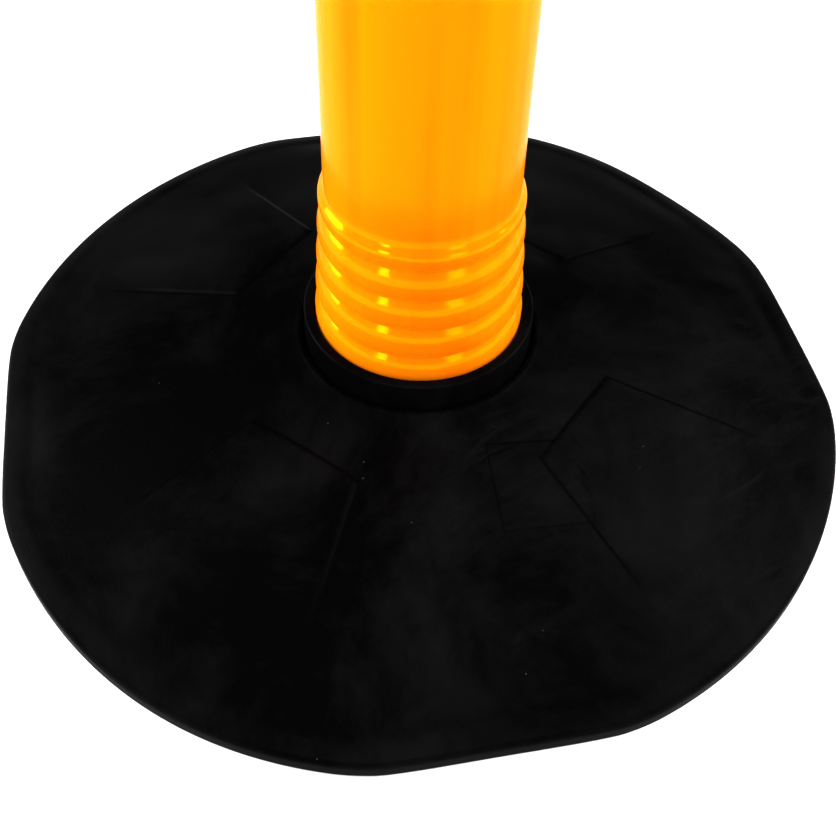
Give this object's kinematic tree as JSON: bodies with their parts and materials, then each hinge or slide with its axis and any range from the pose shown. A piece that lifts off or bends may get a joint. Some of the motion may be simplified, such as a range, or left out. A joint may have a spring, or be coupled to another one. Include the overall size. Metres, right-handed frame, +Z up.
{
  "type": "delineator post",
  "caption": "Flexible hollow traffic post with a ribbed spring-back section, reflective bands and a grab handle, standing in a heavy round base with flats.",
  "frame": {"origin": "on the post's axis at ground level, the middle of the object's footprint", "axes": "+Z up along the post; the grab handle's bar lies in the XZ plane; +X and +Y point to the sides of the base, whose four flats are turned 11.5 degrees from them"},
  "size_m": [0.4056, 0.4056, 1.118],
  "materials": {
    "base": "satin moulded PVC, faintly grained, scuffed",
    "ring": "satin moulded PVC",
    "post": "glossy blow-moulded polyethylene",
    "reflective_sheet": "retroreflective sheeting with a fine cell pattern",
    "handle": "glossy moulded polyethylene",
    "rivet": "satin"
  },
  "bodies": {
    "foot": {"post_foot": "post", "flex_section": "post"},
    "ring": {"collar_ring": "ring"},
    "base": {"base_body": "base"},
    "upper_post": {"post_tube": "post", "band_upper": "reflective_sheet", "band_lower": "reflective_sheet", "handle_cap": "handle", "cap_rivets": "rivet"}
  },
  "joints": [
    {"name": "base_lift", "type": "slide", "parent": "foot", "child": "ring", "axis": [0, 0, 1], "range_m": [0, 1.13]},
    {"name": "base_turn", "type": "hinge", "parent": "ring", "child": "base", "pos_m": [0, 0, 0.046], "axis": [0, 0, 1], "continuous": true},
    {"name": "post_lean", "type": "hinge", "parent": "foot", "child": "upper_post", "pos_m": [0, 0, 0.093], "axis": [1, 0, 0], "range_deg": [-35, 35], "stiffness_Nm_per_rad": 60, "deforming": ["flex_section"]}
  ]
}
